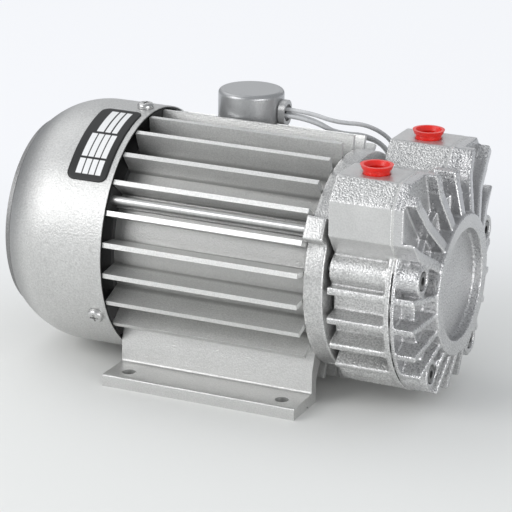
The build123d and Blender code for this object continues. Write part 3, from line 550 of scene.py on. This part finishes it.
def sand_cast(node_name, name, voxel, ripple, crater):
    """A copy of a cast node with softened edges and a rippled skin, which stands for the node.

    The crest attribute tells the paint how far each place stands out of its neighbours.
    """
    material = FINISH[node_name]
    thing = add_mesh(name, merged_copy(node_name), material, nodes[node_name]["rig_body"])
    skin, bm = soft_skin(thing, voxel)
    low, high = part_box(node_name)
    for vertex in bm.verts:
        lift = noise.noise(vertex.co / crater) + 0.5 * noise.noise(vertex.co * 2.1 / crater)
        rippled = vertex.co + vertex.normal * ripple * lift
        vertex.co = [min(max(rippled[i], low[i]), high[i]) for i in range(3)]
    bm.normal_update()
    crest = bm.verts.layers.float.new("crest")
    for vertex in bm.verts:
        slopes = [(vertex.co - edge.other_vert(vertex).co).normalized() for edge in vertex.link_edges]
        vertex[crest] = sum(vertex.normal.dot(slope) for slope in slopes) / len(slopes)
    bm.to_mesh(skin)
    bm.free()
    thing.data = skin
    dress(thing, material)
    for face in skin.polygons:
        face.use_smooth = True
    stand_for(thing, node_name)


def painted_seam():
    """The gasket with its edge raised under the paint at tower height, which closes the seam there."""
    bm = merged_copy("cover_gasket")
    bm.normal_update()
    low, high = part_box("cover_gasket")
    middle = (low.x + high.x) / 2
    for vertex in bm.verts:
        up = vertex.co.z - AXIS_Z
        if hypot(vertex.co.y, up) < SEAM_INNER:
            continue
        painted = max(0.0, min(1.0, (up - SEAM_PAINT_LOW) / SEAM_PAINT_FADE))
        out = Vector((0, vertex.normal.y, vertex.normal.z))
        if out.length > 0.1:
            vertex.co += out.normalized() * SEAM_LIFT * painted
        vertex.co.x += (SEAM_SPREAD if vertex.co.x > middle else -SEAM_SPREAD) * painted
    stand_for(add_mesh("seam_paint", bm, FINISH["cover_gasket"]), "cover_gasket")


def rim_bead():
    """The cowl's pressed edge, rolled into a small bright bead."""
    corners = 10
    centre = Vector((COWL_HIGH.x - BEAD, 0, AXIS_Z))
    bm = bmesh.new()
    verts = []
    for corner in range(corners + 1):
        turn = 2 * pi * corner / corners
        radius = COWL_RADIUS - BEAD + BEAD * sin(turn)
        verts.append(bm.verts.new(centre + Vector((BEAD * cos(turn), 0, radius))))
    edges = [bm.edges.new(pair) for pair in zip(verts, verts[1:])]
    bmesh.ops.spin(bm, geom=verts + edges, cent=centre, axis=(1, 0, 0), angle=2 * pi,
                   steps=96, use_merge=True)
    bmesh.ops.remove_doubles(bm, verts=bm.verts, dist=0.001 * MM)
    bmesh.ops.recalc_face_normals(bm, faces=bm.faces)
    add_mesh("cowl_rim_bead", bm, RIM_PAINT)


def round_off(across, up, inner_x, inner_y):
    """Draw in a point that lies past the inner rectangle's corner, so that a square corner turns round."""
    over_x = max(abs(across) - inner_x, 0)
    over_y = max(abs(up) - inner_y, 0)
    if over_x == 0 or over_y == 0:
        return across, up
    excess = 1 - max(over_x, over_y) / hypot(over_x, over_y)
    return across - copysign(over_x * excess, across), up - copysign(over_y * excess, up)


def name_plate():
    """A thin foil with rounded corners, bent round the cowl by its rim."""
    radius = COWL_RADIUS + PLATE_GAP
    width = PLATE_RIGHT - PLATE_LEFT
    height = radians(PLATE_HIGH - PLATE_LOW) * radius
    middle_x = (PLATE_LEFT + PLATE_RIGHT) / 2
    middle_turn = radians((PLATE_LOW + PLATE_HIGH) / 2)
    bm = bmesh.new()
    bmesh.ops.create_grid(bm, x_segments=20, y_segments=48, size=0.5)
    for vertex in bm.verts:
        across, up = round_off(vertex.co.x * width, vertex.co.y * height,
                               width / 2 - PLATE_CORNER, height / 2 - PLATE_CORNER)
        turn = middle_turn + up / radius
        vertex.co = (middle_x + across, -radius * cos(turn), AXIS_Z + radius * sin(turn))
    bmesh.ops.recalc_face_normals(bm, faces=bm.faces)
    bm.normal_update()
    bm.faces.ensure_lookup_table()
    face = bm.faces[len(bm.faces) // 2]
    if face.normal.dot(face.calc_center_median() - Vector((middle_x, 0, AXIS_Z))) < 0:
        bmesh.ops.reverse_faces(bm, faces=bm.faces)
    plate = add_mesh("name_plate", bm, plate_ink("plate_ink"))
    foil = plate.modifiers.new("foil", "SOLIDIFY")
    foil.thickness = PLATE_THICKNESS
    foil.offset = 1


edged("motor_housing", "housing_extrusion", width=EXTRUSION_ROUND, segments=3,
      foot_rounds=[(WEB_OUTER, WEB_ROUND), (FOOT_OUTER, FOOT_ROUND)])
edged("terminal_saddle", "saddle_casting", width=0.5 * MM)
sand_cast("front_bracket", "bracket_casting", voxel=0.8 * MM, ripple=0.02 * MM, crater=1.6 * MM)
sand_cast("pump_cylinder", "cylinder_casting", voxel=0.8 * MM, ripple=0.035 * MM, crater=1.5 * MM)
sand_cast("end_cover", "cover_casting", voxel=0.65 * MM, ripple=0.03 * MM, crater=1.4 * MM)
painted_seam()
rim_bead()
name_plate()


# Motor leads: the same routes as their solids, with the points in millimetres
LEAD_RADIUS = 1.15 * MM
LEAD_STARTS = [(0.0, 1.7), (-1.7, -1.2), (1.7, -1.2)]
LEAD_LANE = 3.2
LEAD_GAP = 0.05
GROMMET_RECESS = 1.4
lead_start_x = GROMMET_HIGH.x / MM - GROMMET_RECESS
pot_y = (POT_LOW.y + POT_HIGH.y) / 2 / MM
grommet_z = (GROMMET_LOW.z + GROMMET_HIGH.z) / 2 / MM
floor_z = LEAD_RADIUS / MM + LEAD_GAP


def lead_route(start, lane):
    """Points of one lead, whose lane sets it beside its neighbours, with its last points on the surface."""
    y0 = pot_y + start[0]
    z0 = grommet_z + start[1]
    return [
        (lead_start_x, y0, z0),
        (lead_start_x + 13, y0, z0),
        (lead_start_x + 27, y0 + 6 + lane, z0 - 7.5 - lane),
        (lead_start_x + 40, y0 + 21 + lane, z0 - 10.5 - lane),
        (lead_start_x + 46 - lane, y0 + 39 + lane, z0 - 25 - lane),
        (lead_start_x + 45 - lane, 78 + lane, z0 - 52),
        (lead_start_x + 41 - lane, 80 + lane, 34 - lane),
        (lead_start_x + 28 - lane, 84 + lane, floor_z),
        (lead_start_x - 4 - lane, 91 + 1.6 * lane, floor_z),
        (lead_start_x - 36 - 2 * lane, 88 + 2.4 * lane, floor_z),
        (lead_start_x - 66 - 4 * lane, 93 + 1.5 * lane, floor_z),
    ]


def motor_lead(number, start):
    """One lead as a cord, which stands for its solid."""
    route = [Vector(point) * MM for point in lead_route(start, (number - 2) * LEAD_LANE)]
    curve = bpy.data.curves.new(f"lead_wire_{number}", "CURVE")
    curve.dimensions = "3D"
    curve.bevel_depth = LEAD_RADIUS
    curve.bevel_resolution = 4
    curve.resolution_u = 10
    curve.use_fill_caps = True
    spline = curve.splines.new("NURBS")
    spline.points.add(len(route) - 1)
    for point, place in zip(spline.points, route):
        point.co = (*place, 1)
    spline.order_u = 3
    spline.use_endpoint_u = True
    wire = bpy.data.objects.new(f"lead_wire_{number}", curve)
    scene.collection.objects.link(wire)
    dress(wire, LEAD)
    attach(wire, BODY)
    stand_for(wire, f"motor_lead_{number}")


for number, start in enumerate(LEAD_STARTS, start=1):
    motor_lead(number, start)


def floor_paper(name):
    """Pale paper that turns white behind the object, where it glows for the camera alone."""
    white_from = 0.24
    white_soft = 0.20
    paper = Shader(name, roughness=0.9)
    depth = paper.along("Y") * cos(CAMERA_TURN) - paper.along("X") * sin(CAMERA_TURN)
    back = depth.above(white_from, white_soft)
    paper.set("Base Color", paper.mix(back, (0.76, 0.76, 0.74), (0.88, 0.89, 0.91)))
    paper.set("Normal", paper.bump(paper.grain(4 * MM), 0.02 * MM))
    glow = paper.node("ShaderNodeEmission", {}, {"Color": (0.93, 0.94, 0.97), "Strength": 1.0})
    seen = paper.node("ShaderNodeLightPath", {}, {}, "Is Camera Ray")
    plain = Value(paper, paper.principled.outputs[0])
    both = paper.node("ShaderNodeMixShader", {}, [back * seen * 0.75, plain, glow])
    paper.feed(paper.tree.nodes["Material Output"].inputs["Surface"], both)
    return paper.material


def pale_floor():
    bm = bmesh.new()
    bmesh.ops.create_grid(bm, x_segments=2, y_segments=2, size=4.0)
    mesh = bpy.data.meshes.new("floor")
    bm.to_mesh(mesh)
    bm.free()
    floor = bpy.data.objects.new("floor", mesh)
    scene.collection.objects.link(floor)
    dress(floor, floor_paper("pale_floor"))


def make_world():
    """A pale tent: plain for soft light, dimmer where shiny paint mirrors it."""
    world = bpy.data.worlds.new("studio")
    world.use_nodes = True
    tree = world.node_tree
    background = tree.nodes["Background"]
    background.inputs["Color"].default_value = (0.93, 0.96, 1.0, 1)
    path = tree.nodes.new("ShaderNodeLightPath")
    strength = tree.nodes.new("ShaderNodeMapRange")
    strength.inputs["To Min"].default_value = 0.75
    strength.inputs["To Max"].default_value = 0.38
    tree.links.new(path.outputs["Is Glossy Ray"], strength.inputs["Value"])
    tree.links.new(strength.outputs[0], background.inputs["Strength"])
    scene.world = world


def soft_box(name, place, width, height, power):
    """A wide lamp that is turned to the middle of the object."""
    light = bpy.data.lights.new(name, "AREA")
    light.shape = "RECTANGLE"
    light.size = width
    light.size_y = height
    light.energy = power
    lamp = bpy.data.objects.new(name, light)
    lamp.location = place
    lamp.rotation_euler = (Vector((0, 0, AXIS_Z)) - Vector(place)).to_track_quat("-Z", "Y").to_euler()
    scene.collection.objects.link(lamp)


def make_camera():
    """The photo's camera: how far it turns round the object, rises and rolls."""
    back = Vector((
        sin(CAMERA_TURN) * cos(CAMERA_RISE),
        -cos(CAMERA_TURN) * cos(CAMERA_RISE),
        sin(CAMERA_RISE),
    ))
    right = Vector((cos(CAMERA_TURN), sin(CAMERA_TURN), 0))
    up = back.cross(right)
    tilted_right = right * cos(CAMERA_ROLL) + up * sin(CAMERA_ROLL)
    tilted_up = up * cos(CAMERA_ROLL) - right * sin(CAMERA_ROLL)
    data = bpy.data.cameras.new("camera")
    data.sensor_width = SENSOR
    data.lens = FOCAL_PIXELS / PHOTO_SIZE * SENSOR
    data.clip_end = 20
    camera = bpy.data.objects.new("camera", data)
    scene.collection.objects.link(camera)
    basis = Matrix((tilted_right, tilted_up, back)).transposed().to_4x4()
    camera.matrix_world = Matrix.Translation(CAMERA_PLACE) @ basis
    scene.camera = camera


pale_floor()
make_world()
soft_box("top_box", (-0.6, 0.2, 0.9), width=0.8, height=0.8, power=2.0)
soft_box("left_box", (-0.8, -1.0, 0.7), width=1.0, height=0.9, power=9.5)
soft_box("right_box", (1.1, -0.8, 0.25), width=0.9, height=0.4, power=6.0)
soft_box("back_box", (-0.3, 1.2, 0.55), width=1.2, height=0.5, power=1.0)
make_camera()
scene.view_settings.view_transform = "Standard"

bpy.context.view_layer.update()
